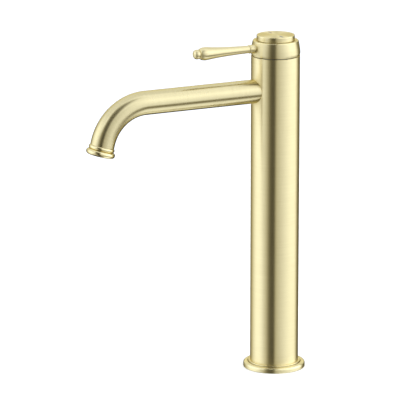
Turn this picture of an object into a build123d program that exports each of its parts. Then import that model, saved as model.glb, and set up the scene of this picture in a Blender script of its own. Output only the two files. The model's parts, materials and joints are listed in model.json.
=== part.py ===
"""Tall single-lever basin mixer: round column, long fixed spout, pin lever on a tilting cap.

Millimetres, +Z up. The origin is on the column's axis at the deck surface. The spout and
the lever point along -Y, so -X is the hot side and +X the cold side.
"""

from build123d import *
from math import cos, radians, sin, sqrt
import os

# Column and base
COLUMN_D = 45.0
COLUMN_WALL = 2.5
COLUMN_TOP = 296.45
FLANGE_OVERHANG = 6.3
BASE_FLANGE_LIFT = 4.9
BASE_FLANGE_SLOPE = 0.12
BASE_BEAD_TOP = 6.2
BASE_BEAD_WIDTH = 1.8
BASE_GROOVE_WIDTH = 0.6
BASE_PLATE_T = 3.0
BASE_PLATE_LIP = 1.6
BASE_PLUG_H = 23.0
BASE_SEAL_T = 1.6
BASE_SEAL_W = 2.2
BASE_SEAL_INSET = 1.0

# Supply ports and inner tubes
PORT_X = 7.5
PORT_Y = -3.5
INLET_THREAD_R = 4.5
INLET_DEPTH = 12.0
SUPPLY_TUBE_D = 10.0
SUPPLY_TUBE_WALL = 1.0
TUBE_SOCKET = 8.0
STUD_HOLE_R = 2.5
STUD_SPACING = 20.0
STUD_Y = 9.0
STUD_DEPTH = 16.0

# Spout
SPOUT_D = 22.0
SPOUT_WALL = 1.5
SPOUT_BELOW_TOP = 31.85
SPOUT_STRAIGHT_Y = 132.8
SPOUT_BEND_R = 43.6
SPOUT_TURN = 75.0
SPOUT_TAIL = 3.4

# Outlet ring and aerator, measured along the spout beyond its bend
RING_END = 12.6
UPPER_BEAD_AT = 5.5
UPPER_BEAD_LIFT = 0.9
UPPER_BEAD_HALF = 1.7
LOWER_BEAD_AT = 9.7
LOWER_BEAD_LIFT = 2.3
LOWER_BEAD_HALF = 2.4
RING_GROOVE_DEPTH = 0.5
RING_SPIGOT = 3.2
RING_WALL = 0.9
AERATOR_T = 6.4
AERATOR_RECESS = 0.8
JET_R = 0.75
JET_RINGS = 3
JETS_PER_RING = 6
AERATOR_EDGE = 1.8
SCREEN_T = 0.6
SCREEN_WIRE = 0.6
SCREEN_CELLS = 5
AERATOR_SEAL_T = 1.2
AERATOR_SEAL_W = 2.8

# Handle, heights measured from the column's top
LIFT_MAX = 25.0
PIVOT_LIFT = 7.95
SEAM = 0.55
CAP_WIDEST_LIFT = 2.55
CAP_SHOULDER_LIFT = 13.35
CAP_EDGE_H = 1.0
CAP_SHOULDER_SLOPE = 0.25
CAP_OVERHANG = 0.2
CAP_WAIST_INSET = 0.5
CAP_SHOULDER_INSET = 1.55
CAP_WALL = 2.6
CAP_ROOF = 2.4
CAP_RECESS_DEPTH = 0.9
CAP_TO_BOWL = 0.3
DISC_INSET = 3.65
DISC_H = 5.0
DISC_SKIN = 1.6
SPIGOT_INSET = 3.5
SPIGOT_WALL = 2.0
DISC_RING_GROOVE = 1.0
MARK_INSET = 6.5
MARK_LENGTH = 8.0
MARK_WIDTH = 1.8
MARK_DEPTH = 0.5
MARK_SUNK = 0.1

# Lever, lengths measured out from the cap's side
COLLAR_LENGTH = 4.8
COLLAR_R = 3.9
LEVER_ROOT_R = 3.5
LEVER_WIDEST_R = 6.0
LEVER_WIDEST_OUT = 49.8
LEVER_NECK_R = 3.6
LEVER_NECK_OUT = 55.6
NECK_SLOPE = 0.25
LEVER_BALL_R = 4.4
BALL_SLOPE = 0.6
LEVER_END_OUT = 61.3
SWELL_NEAR = (0.14, 0.322)
SWELL_FAR = (0.456, 0.687)
LEVER_STUD_R = 2.5
LEVER_BOSS_R = 4.6
LEVER_BOSS_LENGTH = 4.5

# Cartridge
CARTRIDGE_R = 17.4
CARTRIDGE_WALL = 1.6
CARTRIDGE_BODY_H = 21.5
CARTRIDGE_BELOW_TOP = 11.95
CARTRIDGE_NECK_H = 16.9
CARTRIDGE_NECK_WALL = 1.8
CARTRIDGE_ROOF = 2.0
CARTRIDGE_BASE_T = 4.4
DISC_T = 3.4
WATER_IN_AT = 4.5
WATER_IN_R = 1.6
WATER_OUT_Y = 1.5
WATER_OUT_R = 2.6
CHAMBER_Y = 3.9
CHAMBER_WALL = 1.3
CHAMBER_DEPTH = 1.8
CARRIER_PLATE_T = 5.4
STEM_ARM = 12.0
STEM_BALL_R = 2.2
STEM_ARM_HALF_X = 2.6
STEM_ARM_HALF_Y = 1.3
CARRIER_WALL = 1.4
STEM_HALF_X = 3.9
STEM_HALF_Y = 3.4
STEM_SQUARE_HALF = 3.2
PIN_R = 1.5
PIN_END_GAP = 0.2
EAR_INSET = 1.7
EAR_R = 3.6
TURRET_WALL = 0.93
TURRET_LIFT = 0.6
TURRET_FLANGE_T = 2.0
NUT_T = 3.5
NUT_RIM = 1.0
NUT_NOTCH = 2.6
NUT_NOTCHES = 6
HANDLE_SCREW_R = 2.0
HANDLE_SCREW_HEAD_R = 3.6
HANDLE_SCREW_HEAD_H = 2.2
HANDLE_SCREW_LENGTH = 3.4
HANDLE_SCREW_HEX = 2.5
HANDLE_SCREW_HEX_DEPTH = 1.3
HEX_SIDES = 6
WASHER_R = 5.0
WASHER_T = 0.6

# Valve block
BLOCK_BELOW_CARTRIDGE = 19.0
BLOCK_PORT_X = 6.5
BLOCK_PORT_Y = -4.5
BLOCK_PORT_R = 2.2
OUTLET_R = 2.8
OUTLET_ROOF = 2.0
O_RING_SECTION = 1.4
O_RING_HEIGHT = 2.0
PORT_SEAL_T = 1.2
PORT_SEAL_W = 1.2
WAY_INSET = 0.9
WAY_WIDER = 0.2

# Clearances
RUNNING_FIT = 0.05
LOOSE_FIT = 0.3
SLIDE_FIT = 0.3
DISC_END_GAP = 0.5
FINE_EDGE = 0.3

# Column, base and spout, worked out from the sizes above
COLUMN_R = COLUMN_D / 2
BORE_R = COLUMN_R - COLUMN_WALL
FLANGE_R = COLUMN_R + FLANGE_OVERHANG
PLATE_R = COLUMN_R + BASE_PLATE_LIP
BASE_SEAL_R = PLATE_R + BASE_SEAL_INSET
BLOCK_FOOT_TOP = BASE_PLATE_T + BASE_PLUG_H
TUBE_R = SUPPLY_TUBE_D / 2
SPOUT_AXIS_Z = COLUMN_TOP - SPOUT_BELOW_TOP
SPOUT_R = SPOUT_D / 2
SPOUT_BORE_R = SPOUT_R - SPOUT_WALL
RING_BORE_R = SPOUT_BORE_R - RING_WALL
JET_RING_PITCH = (RING_BORE_R - AERATOR_EDGE) / JET_RINGS

# Handle, worked out from the sizes above
PIVOT_Z = COLUMN_TOP + PIVOT_LIFT
CAP_R = COLUMN_R + CAP_OVERHANG
CAP_RIM_Z = COLUMN_TOP + SEAM
CAP_WIDEST_Z = COLUMN_TOP + CAP_WIDEST_LIFT
RIM_SWEEP_R = sqrt(CAP_R**2 + (PIVOT_Z - CAP_WIDEST_Z) ** 2)
CAP_RIM_R = sqrt(RIM_SWEEP_R**2 - (PIVOT_Z - CAP_RIM_Z) ** 2)
CAP_WAIST_R = CAP_R - CAP_WAIST_INSET
CAP_SHOULDER_Z = COLUMN_TOP + CAP_SHOULDER_LIFT
CAP_SHOULDER_R = CAP_R - CAP_SHOULDER_INSET
CAP_TOP = CAP_SHOULDER_Z + CAP_EDGE_H
CAP_BORE_R = CAP_R - CAP_WALL
CAP_ROOF_Z = CAP_TOP - CAP_ROOF
BOWL_R = RIM_SWEEP_R + CAP_TO_BOWL
RECESS_FLOOR = CAP_TOP - CAP_RECESS_DEPTH
COVER_R = CAP_SHOULDER_R - DISC_INSET
COVER_TOP = CAP_TOP + DISC_H
SPIGOT_R = COVER_R - SPIGOT_INSET
MARK_AT = COVER_R - MARK_INSET
LEVER_BOSS_END = CAP_BORE_R - LEVER_BOSS_LENGTH
COLLAR_END = CAP_R + COLLAR_LENGTH
LEVER_WIDEST_AT = CAP_R + LEVER_WIDEST_OUT
LEVER_NECK_AT = CAP_R + LEVER_NECK_OUT
LEVER_REACH = CAP_R + LEVER_END_OUT

# Cartridge and valve block, worked out from the sizes above
CARTRIDGE_SHOULDER = COLUMN_TOP - CARTRIDGE_BELOW_TOP
CARTRIDGE_FLOOR = CARTRIDGE_SHOULDER - CARTRIDGE_BODY_H
CARTRIDGE_ROOF_Z = CARTRIDGE_SHOULDER - CARTRIDGE_ROOF
NECK_TOP = CARTRIDGE_SHOULDER + CARTRIDGE_NECK_H
LINER_R = CARTRIDGE_R - CARTRIDGE_WALL
BLOCK_BOTTOM = CARTRIDGE_FLOOR - BLOCK_BELOW_CARTRIDGE
BLOCK_TOP = CARTRIDGE_SHOULDER + NUT_T
OUTLET_CROSS_Z = CARTRIDGE_FLOOR - OUTLET_ROOF - OUTLET_R
O_RINGS_AT = (BLOCK_BOTTOM + O_RING_HEIGHT, CARTRIDGE_SHOULDER - 2 * O_RING_HEIGHT)
NUT_R = CARTRIDGE_R + NUT_RIM
WAY_X = BLOCK_PORT_X - WAY_INSET
WAY_R = BLOCK_PORT_R + WAY_WIDER
WAYS = ((-WAY_X, BLOCK_PORT_Y), (WAY_X, BLOCK_PORT_Y), (0, WATER_OUT_Y))
FIXED_DISC_R = LINER_R - WAY_WIDER
FIXED_DISC_Z = CARTRIDGE_FLOOR + CARTRIDGE_BASE_T
MOVING_DISC_Z = FIXED_DISC_Z + DISC_T
CARRIER_Z = MOVING_DISC_Z + DISC_T
FLANGE_Z = CARRIER_Z + CARRIER_PLATE_T + SLIDE_FIT
BALL_Z = PIVOT_Z - STEM_ARM
DISC_TRAVEL = STEM_ARM * sin(radians(LIFT_MAX))
MOVING_DISC_R = LINER_R - DISC_TRAVEL - DISC_END_GAP
CHAMBER_R = MOVING_DISC_R - CHAMBER_WALL - CHAMBER_Y
SOCKET_HALF = STEM_BALL_R + LOOSE_FIT
CARRIER_HALF_Y = SOCKET_HALF + CARRIER_WALL
SLOT_HALF_X = STEM_HALF_X + LOOSE_FIT
SLOT_FRONT = CARRIER_HALF_Y + DISC_TRAVEL + LOOSE_FIT
SLOT_REAR = CARRIER_HALF_Y + LOOSE_FIT
TURRET_R = SLOT_FRONT + TURRET_WALL
TURRET_TOP = NECK_TOP + TURRET_LIFT
NECK_R = TURRET_R + CARTRIDGE_NECK_WALL
EAR_HALF_X = TURRET_R - EAR_INSET
PIN_HALF = EAR_HALF_X - PIN_END_GAP

os.makedirs("parts", exist_ok=True)


def save(piece, name):
    """Label one finished piece and write it as its own STEP file."""
    piece.part.label = name
    export_step(piece.part, f"parts/{name}.step")


def spout_plane(past_bend):
    """Plane square to the spout's lower end, its Z axis pointing down the water's way."""
    turn = radians(SPOUT_TURN)
    down = Vector(0, -cos(turn), -sin(turn))
    bend_end = Vector(
        0,
        -SPOUT_STRAIGHT_Y - SPOUT_BEND_R * sin(turn),
        SPOUT_AXIS_Z - SPOUT_BEND_R * (1 - cos(turn)),
    )
    return Plane(origin=bend_end + down * past_bend, x_dir=(1, 0, 0), z_dir=down)


def lever_plane(distance):
    """Plane square to the lever's axis, its Z axis pointing out along the lever."""
    return Plane(origin=(0, -distance, PIVOT_Z), x_dir=(1, 0, 0), z_dir=(0, -1, 0))


# Column tube: a plain drawn tube with a bowl turned in its top for the cap's rim
with BuildPart() as column_tube:
    with BuildSketch(Plane.XY.offset(BASE_PLATE_T)):
        Circle(COLUMN_R)
        Circle(BORE_R, mode=Mode.SUBTRACT)
    extrude(amount=COLUMN_TOP - BASE_PLATE_T)
    with Locations((0, 0, PIVOT_Z)):
        Sphere(BOWL_R, mode=Mode.SUBTRACT)
    with BuildSketch(Plane.XZ.shift_origin((0, 0, SPOUT_AXIS_Z))):
        Circle(SPOUT_R)
    extrude(amount=COLUMN_R, mode=Mode.SUBTRACT)
save(column_tube, "column_tube")

# Base flange: turned ring with a bead against the column, a fine groove and a round edge
with BuildPart() as base_flange:
    bead_r = COLUMN_R + BASE_BEAD_WIDTH
    groove_r = bead_r + BASE_GROOVE_WIDTH
    edge_r = FLANGE_R - BASE_PLATE_LIP
    with BuildSketch(Plane.XZ):
        with BuildLine():
            Polyline(
                (PLATE_R, 0),
                (PLATE_R, BASE_PLATE_T),
                (COLUMN_R, BASE_PLATE_T),
                (COLUMN_R, BASE_BEAD_TOP),
                (bead_r - FINE_EDGE, BASE_BEAD_TOP - FINE_EDGE),
                (bead_r, BASE_FLANGE_LIFT + FINE_EDGE),
                (bead_r, BASE_FLANGE_LIFT - FINE_EDGE),
                (groove_r, BASE_FLANGE_LIFT - FINE_EDGE),
                (groove_r, BASE_FLANGE_LIFT + FINE_EDGE / 2),
                (edge_r, BASE_FLANGE_LIFT),
            )
            Spline(
                (edge_r, BASE_FLANGE_LIFT),
                (FLANGE_R, BASE_PLATE_T / 2),
                tangents=[(1, -BASE_FLANGE_SLOPE), (0, -1)],
            )
            Spline(
                (FLANGE_R, BASE_PLATE_T / 2),
                (FLANGE_R - 2 * FINE_EDGE, 0),
                tangents=[(0, -1), (-1, -1)],
            )
            Line((FLANGE_R - 2 * FINE_EDGE, 0), (PLATE_R, 0))
        make_face()
    revolve(axis=Axis.Z)
    with BuildSketch():
        Circle(BASE_SEAL_R + BASE_SEAL_W)
        Circle(BASE_SEAL_R, mode=Mode.SUBTRACT)
    extrude(amount=BASE_SEAL_T, mode=Mode.SUBTRACT)
save(base_flange, "base_flange")

# Base seal: rubber ring in the flange's underside groove
with BuildPart() as base_seal:
    with BuildSketch():
        Circle(BASE_SEAL_R + BASE_SEAL_W)
        Circle(BASE_SEAL_R, mode=Mode.SUBTRACT)
    extrude(amount=BASE_SEAL_T)
save(base_seal, "base_seal")

# Base block: brass plug screwed into the column's foot, with the inlets and stud holes
with BuildPart() as base_block:
    with BuildSketch():
        Circle(PLATE_R)
    extrude(amount=BASE_PLATE_T)
    with BuildSketch(Plane.XY.offset(BASE_PLATE_T)):
        Circle(BORE_R)
    extrude(amount=BASE_PLUG_H)
    with BuildSketch():
        with Locations((-PORT_X, PORT_Y), (PORT_X, PORT_Y)):
            Circle(INLET_THREAD_R)
    extrude(amount=INLET_DEPTH, mode=Mode.SUBTRACT)
    with BuildSketch():
        with Locations((-PORT_X, PORT_Y), (PORT_X, PORT_Y)):
            Circle(TUBE_R - SUPPLY_TUBE_WALL)
    extrude(amount=BLOCK_FOOT_TOP, mode=Mode.SUBTRACT)
    with BuildSketch(Plane.XY.offset(BLOCK_FOOT_TOP)):
        with Locations((-PORT_X, PORT_Y), (PORT_X, PORT_Y)):
            Circle(TUBE_R)
    extrude(amount=-TUBE_SOCKET, mode=Mode.SUBTRACT)
    with BuildSketch():
        with Locations((-STUD_SPACING / 2, STUD_Y), (STUD_SPACING / 2, STUD_Y)):
            Circle(STUD_HOLE_R)
    extrude(amount=STUD_DEPTH, mode=Mode.SUBTRACT)
save(base_block, "base_block")

# Supply tubes: copper, from the base block up to the valve block
tube_bottom = BLOCK_FOOT_TOP - TUBE_SOCKET
tube_top = BLOCK_BOTTOM + TUBE_SOCKET
for tube_name, side in (("hot_tube", -1), ("cold_tube", 1)):
    with BuildPart() as supply_tube:
        with BuildSketch(Plane.XY.offset(tube_bottom)):
            with Locations((side * PORT_X, PORT_Y)):
                Circle(TUBE_R)
                Circle(TUBE_R - SUPPLY_TUBE_WALL, mode=Mode.SUBTRACT)
        extrude(amount=tube_top - tube_bottom)
    save(supply_tube, tube_name)

# Valve block: brass, holds the cartridge in its cup and feeds the spout at the front
with BuildPart() as valve_block:
    with BuildSketch(Plane.XY.offset(BLOCK_BOTTOM)):
        Circle(BORE_R)
    extrude(amount=BLOCK_TOP - BLOCK_BOTTOM)
    with BuildSketch(Plane.XY.offset(CARTRIDGE_FLOOR)):
        Circle(CARTRIDGE_R)
    extrude(amount=BLOCK_TOP - CARTRIDGE_FLOOR, mode=Mode.SUBTRACT)
    with BuildSketch(Plane.XY.offset(CARTRIDGE_SHOULDER)):
        Circle(NUT_R)
    extrude(amount=NUT_T, mode=Mode.SUBTRACT)
    with BuildSketch(Plane.XY.offset(BLOCK_BOTTOM)):
        with Locations((-PORT_X, PORT_Y), (PORT_X, PORT_Y)):
            Circle(TUBE_R)
    extrude(amount=TUBE_SOCKET, mode=Mode.SUBTRACT)
    with BuildSketch(Plane.XY.offset(tube_top)):
        with Locations((-BLOCK_PORT_X, BLOCK_PORT_Y), (BLOCK_PORT_X, BLOCK_PORT_Y)):
            Circle(BLOCK_PORT_R)
    extrude(amount=CARTRIDGE_FLOOR - tube_top, mode=Mode.SUBTRACT)
    with BuildSketch(Plane.XY.offset(OUTLET_CROSS_Z - OUTLET_R)):
        with Locations((0, WATER_OUT_Y)):
            Circle(OUTLET_R)
    extrude(amount=CARTRIDGE_FLOOR - OUTLET_CROSS_Z + OUTLET_R, mode=Mode.SUBTRACT)
    with BuildSketch(Plane.XZ.offset(-WATER_OUT_Y).shift_origin((0, WATER_OUT_Y, OUTLET_CROSS_Z))):
        Circle(OUTLET_R)
    extrude(amount=BORE_R + WATER_OUT_Y, mode=Mode.SUBTRACT)
    for ring_z in O_RINGS_AT:
        with BuildSketch(Plane.XY.offset(ring_z)):
            Circle(BORE_R)
            Circle(BORE_R - O_RING_SECTION, mode=Mode.SUBTRACT)
        extrude(amount=O_RING_HEIGHT, mode=Mode.SUBTRACT)
save(valve_block, "valve_block")

# Block O-rings: two seals between the valve block and the column
with BuildPart() as block_o_rings:
    for ring_z in O_RINGS_AT:
        with BuildSketch(Plane.XY.offset(ring_z)):
            Circle(BORE_R)
            Circle(BORE_R - O_RING_SECTION, mode=Mode.SUBTRACT)
        extrude(amount=O_RING_HEIGHT)
save(block_o_rings, "block_o_rings")

# Spout tube: coped onto the valve block, straight, then one bend down at the outlet
with BuildPart() as spout_tube:
    with BuildLine() as spout_path:
        middle = radians(SPOUT_TURN) / 2
        bend_start = (0, -SPOUT_STRAIGHT_Y, SPOUT_AXIS_Z)
        run_in = Line((0, -BORE_R / 2, SPOUT_AXIS_Z), bend_start)
        ThreePointArc(
            bend_start,
            (
                0,
                -SPOUT_STRAIGHT_Y - SPOUT_BEND_R * sin(middle),
                SPOUT_AXIS_Z - SPOUT_BEND_R * (1 - cos(middle)),
            ),
            spout_plane(0).origin,
        )
        Line(spout_plane(0).origin, spout_plane(SPOUT_TAIL).origin)
    with BuildSketch(Plane(origin=run_in @ 0, x_dir=(1, 0, 0), z_dir=(0, -1, 0))):
        Circle(SPOUT_R)
        Circle(SPOUT_BORE_R, mode=Mode.SUBTRACT)
    sweep(path=spout_path.wires()[0])
    with BuildSketch(Plane.XY.offset(SPOUT_AXIS_Z - SPOUT_D)):
        Circle(BORE_R)
    extrude(amount=2 * SPOUT_D, mode=Mode.SUBTRACT)
save(spout_tube, "spout_tube")

# Outlet ring: two turned beads with a groove between them, pushed into the spout's end
with BuildPart() as outlet_ring:
    with BuildSketch(Plane.XZ):
        with BuildLine():
            groove_at = (UPPER_BEAD_AT + UPPER_BEAD_HALF + LOWER_BEAD_AT - LOWER_BEAD_HALF) / 2
            bead_r = SPOUT_R + LOWER_BEAD_LIFT
            lip_r = bead_r - LOWER_BEAD_HALF
            Line((SPOUT_BORE_R, SPOUT_TAIL), (SPOUT_R, SPOUT_TAIL))
            Line((SPOUT_R, SPOUT_TAIL), (SPOUT_R, UPPER_BEAD_AT - UPPER_BEAD_HALF))
            ThreePointArc(
                (SPOUT_R, UPPER_BEAD_AT - UPPER_BEAD_HALF),
                (SPOUT_R + UPPER_BEAD_LIFT, UPPER_BEAD_AT),
                (SPOUT_R, UPPER_BEAD_AT + UPPER_BEAD_HALF),
            )
            Line((SPOUT_R, UPPER_BEAD_AT + UPPER_BEAD_HALF), (SPOUT_R - RING_GROOVE_DEPTH, groove_at))
            Line((SPOUT_R - RING_GROOVE_DEPTH, groove_at), (SPOUT_R, LOWER_BEAD_AT - LOWER_BEAD_HALF))
            ThreePointArc(
                (SPOUT_R, LOWER_BEAD_AT - LOWER_BEAD_HALF),
                (bead_r, LOWER_BEAD_AT),
                (lip_r, RING_END),
            )
            Polyline(
                (lip_r, RING_END),
                (RING_BORE_R + FINE_EDGE, RING_END),
                (RING_BORE_R, RING_END - FINE_EDGE),
                (RING_BORE_R, SPOUT_TAIL - RING_SPIGOT),
                (SPOUT_BORE_R, SPOUT_TAIL - RING_SPIGOT),
                (SPOUT_BORE_R, SPOUT_TAIL),
            )
        make_face()
    revolve(axis=Axis.Z)
outlet_ring.part = outlet_ring.part.moved(spout_plane(0).location)
save(outlet_ring, "outlet_ring")

# Aerator: plastic insert with rings of jet holes, a wire screen over it and a rubber washer
aerator_end = RING_END - AERATOR_RECESS
aerator_start = aerator_end - AERATOR_T
with BuildPart() as aerator_insert:
    with BuildSketch(spout_plane(aerator_start)):
        Circle(RING_BORE_R)
        for ring in range(JET_RINGS + 1):
            with PolarLocations(ring * JET_RING_PITCH, max(1, ring * JETS_PER_RING)):
                Circle(JET_R, mode=Mode.SUBTRACT)
    extrude(amount=AERATOR_T)
save(aerator_insert, "aerator_insert")

cell_pitch = 2 * JET_R + SCREEN_WIRE
with BuildPart() as aerator_screen:
    with BuildSketch(spout_plane(aerator_start - SCREEN_T)):
        Circle(RING_BORE_R)
        with GridLocations(cell_pitch, cell_pitch, SCREEN_CELLS, SCREEN_CELLS):
            Rectangle(2 * JET_R, 2 * JET_R, mode=Mode.SUBTRACT)
    extrude(amount=SCREEN_T)
save(aerator_screen, "aerator_screen")

with BuildPart() as aerator_washer:
    with BuildSketch(spout_plane(aerator_start - SCREEN_T - AERATOR_SEAL_T)):
        Circle(RING_BORE_R)
        Circle(RING_BORE_R - AERATOR_SEAL_W, mode=Mode.SUBTRACT)
    extrude(amount=AERATOR_SEAL_T)
save(aerator_washer, "aerator_washer")

# Cartridge base: plastic plug with the three water ways
with BuildPart() as cartridge_base:
    with BuildSketch(Plane.XY.offset(CARTRIDGE_FLOOR)):
        Circle(LINER_R)
        with Locations(*WAYS):
            Circle(WAY_R, mode=Mode.SUBTRACT)
    extrude(amount=CARTRIDGE_BASE_T)
    with BuildSketch(Plane.XY.offset(CARTRIDGE_FLOOR)):
        with Locations(*WAYS):
            Circle(WAY_R + PORT_SEAL_W)
    extrude(amount=PORT_SEAL_T, mode=Mode.SUBTRACT)
save(cartridge_base, "cartridge_base")

# Port seals: three rubber rings round the three ways, under the cartridge
with BuildPart() as port_seal:
    with BuildSketch(Plane.XY.offset(CARTRIDGE_FLOOR)):
        with Locations(*WAYS):
            Circle(WAY_R + PORT_SEAL_W)
        with Locations(*WAYS):
            Circle(WAY_R, mode=Mode.SUBTRACT)
    extrude(amount=PORT_SEAL_T)
save(port_seal, "port_seal")

# Cartridge housing: plastic shell with a wide body and a long neck
with BuildPart() as cartridge_housing:
    with BuildSketch(Plane.XY.offset(CARTRIDGE_FLOOR)):
        Circle(CARTRIDGE_R)
    extrude(amount=CARTRIDGE_BODY_H)
    with BuildSketch(Plane.XY.offset(CARTRIDGE_SHOULDER)):
        Circle(NECK_R)
    extrude(amount=CARTRIDGE_NECK_H)
    with BuildSketch(Plane.XY.offset(CARTRIDGE_FLOOR)):
        Circle(LINER_R)
    extrude(amount=CARTRIDGE_ROOF_Z - CARTRIDGE_FLOOR, mode=Mode.SUBTRACT)
    with BuildSketch(Plane.XY.offset(CARTRIDGE_FLOOR)):
        Circle(TURRET_R + RUNNING_FIT)
    extrude(amount=NECK_TOP - CARTRIDGE_FLOOR, mode=Mode.SUBTRACT)
save(cartridge_housing, "cartridge_housing")

# Cartridge nut: brass ring with spanner notches that holds the cartridge in its cup
with BuildPart() as cartridge_nut:
    with BuildSketch(Plane.XY.offset(CARTRIDGE_SHOULDER)):
        Circle(NUT_R)
        Circle(NECK_R + LOOSE_FIT, mode=Mode.SUBTRACT)
    extrude(amount=NUT_T)
    with BuildSketch(Plane.XY.offset(CARTRIDGE_SHOULDER + NUT_T / 2)):
        with PolarLocations(NECK_R, NUT_NOTCHES):
            Rectangle(2 * NUT_NOTCH, NUT_NOTCH)
    extrude(amount=NUT_T / 2, mode=Mode.SUBTRACT)
save(cartridge_nut, "cartridge_nut")

# Fixed ceramic disc: two inlet holes at the front, the outlet hole behind them
with BuildPart() as fixed_disc:
    with BuildSketch(Plane.XY.offset(FIXED_DISC_Z)):
        Circle(FIXED_DISC_R)
        with Locations((-WATER_IN_AT, -WATER_IN_AT), (WATER_IN_AT, -WATER_IN_AT)):
            Circle(WATER_IN_R, mode=Mode.SUBTRACT)
        with Locations((0, WATER_OUT_Y)):
            Circle(WATER_OUT_R, mode=Mode.SUBTRACT)
    extrude(amount=DISC_T)
save(fixed_disc, "fixed_disc")

# Moving ceramic disc: its mixing chamber slides forward over the inlets
with BuildPart() as moving_disc:
    with BuildSketch(Plane.XY.offset(MOVING_DISC_Z)):
        Circle(MOVING_DISC_R)
    extrude(amount=DISC_T)
    with BuildSketch(Plane.XY.offset(MOVING_DISC_Z)):
        with Locations((0, CHAMBER_Y)):
            Circle(CHAMBER_R)
    extrude(amount=CHAMBER_DEPTH, mode=Mode.SUBTRACT)
save(moving_disc, "moving_disc")

# Disc carrier: plate on the moving disc with a slotted post for the stem's ball
post_top = BALL_Z + STEM_BALL_R - SLIDE_FIT
with BuildPart() as disc_carrier:
    with BuildSketch(Plane.XY.offset(CARRIER_Z)):
        Circle(MOVING_DISC_R)
    extrude(amount=CARRIER_PLATE_T)
    with BuildSketch(Plane.XY.offset(CARRIER_Z + CARRIER_PLATE_T)):
        Rectangle(2 * STEM_HALF_X, 2 * CARRIER_HALF_Y)
    extrude(amount=post_top - CARRIER_Z - CARRIER_PLATE_T)
    with BuildSketch(Plane.XY.offset(BALL_Z - STEM_BALL_R - LOOSE_FIT)):
        Rectangle(2 * STEM_HALF_X, 2 * SOCKET_HALF)
    extrude(amount=2 * STEM_BALL_R + LOOSE_FIT, mode=Mode.SUBTRACT)
save(disc_carrier, "disc_carrier")

# Turret: turns in the cartridge's neck, carries the pivot pin between its two ears
slot_middle = (SLOT_REAR - SLOT_FRONT) / 2
with BuildPart() as turret:
    with BuildSketch(Plane.XY.offset(FLANGE_Z)):
        Circle(LINER_R - LOOSE_FIT)
    extrude(amount=TURRET_FLANGE_T)
    with BuildSketch(Plane.XY.offset(FLANGE_Z)):
        Circle(TURRET_R)
    extrude(amount=TURRET_TOP - FLANGE_Z)
    with BuildSketch(Plane.YZ.offset(-EAR_HALF_X)):
        with Locations((0, PIVOT_Z)):
            Circle(EAR_R)
        with Locations((0, (PIVOT_Z + TURRET_TOP) / 2 - EAR_R / 2)):
            Rectangle(2 * EAR_R, PIVOT_Z - TURRET_TOP + EAR_R)
    extrude(amount=2 * EAR_HALF_X)
    with BuildSketch(Plane.XY.offset(FLANGE_Z)):
        with Locations((0, slot_middle)):
            Rectangle(2 * SLOT_HALF_X, SLOT_FRONT + SLOT_REAR)
    extrude(amount=PIVOT_Z + 2 * EAR_R - FLANGE_Z, mode=Mode.SUBTRACT)
    with BuildSketch(Plane.YZ.offset(-TURRET_R)):
        with Locations((0, PIVOT_Z)):
            Circle(PIN_R + RUNNING_FIT)
    extrude(amount=2 * TURRET_R, mode=Mode.SUBTRACT)
save(turret, "turret")

# Pivot pin: pressed through the stem, turning in the turret's ears
with BuildPart() as stem_pin:
    with BuildSketch(Plane.YZ.offset(-PIN_HALF)):
        with Locations((0, PIVOT_Z)):
            Circle(PIN_R)
    extrude(amount=2 * PIN_HALF)
save(stem_pin, "stem_pin")

# Stem: steel bar with a square top for the cap and a ball at its lower end
with BuildPart() as stem:
    with BuildSketch(Plane.XY.offset(PIVOT_Z - STEM_HALF_Y)):
        Rectangle(2 * STEM_HALF_X, 2 * STEM_HALF_Y)
    extrude(amount=CAP_ROOF_Z - PIVOT_Z + STEM_HALF_Y)
    with BuildSketch(Plane.XY.offset(CAP_ROOF_Z)):
        Rectangle(2 * STEM_SQUARE_HALF, 2 * STEM_SQUARE_HALF)
    extrude(amount=RECESS_FLOOR - CAP_ROOF_Z - FINE_EDGE)
    with BuildSketch(Plane.XY.offset(BALL_Z)):
        Rectangle(2 * STEM_ARM_HALF_X, 2 * STEM_ARM_HALF_Y)
    extrude(amount=STEM_ARM - STEM_HALF_Y)
    with Locations((0, 0, BALL_Z)):
        Sphere(STEM_BALL_R)
    with BuildSketch(Plane.XY.offset(RECESS_FLOOR)):
        Circle(HANDLE_SCREW_R)
    extrude(amount=-HANDLE_SCREW_LENGTH, mode=Mode.SUBTRACT)
    with BuildSketch(Plane.YZ.offset(-STEM_HALF_X)):
        with Locations((0, PIVOT_Z)):
            Circle(PIN_R)
    extrude(amount=2 * STEM_HALF_X, mode=Mode.SUBTRACT)
save(stem, "stem")

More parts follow.
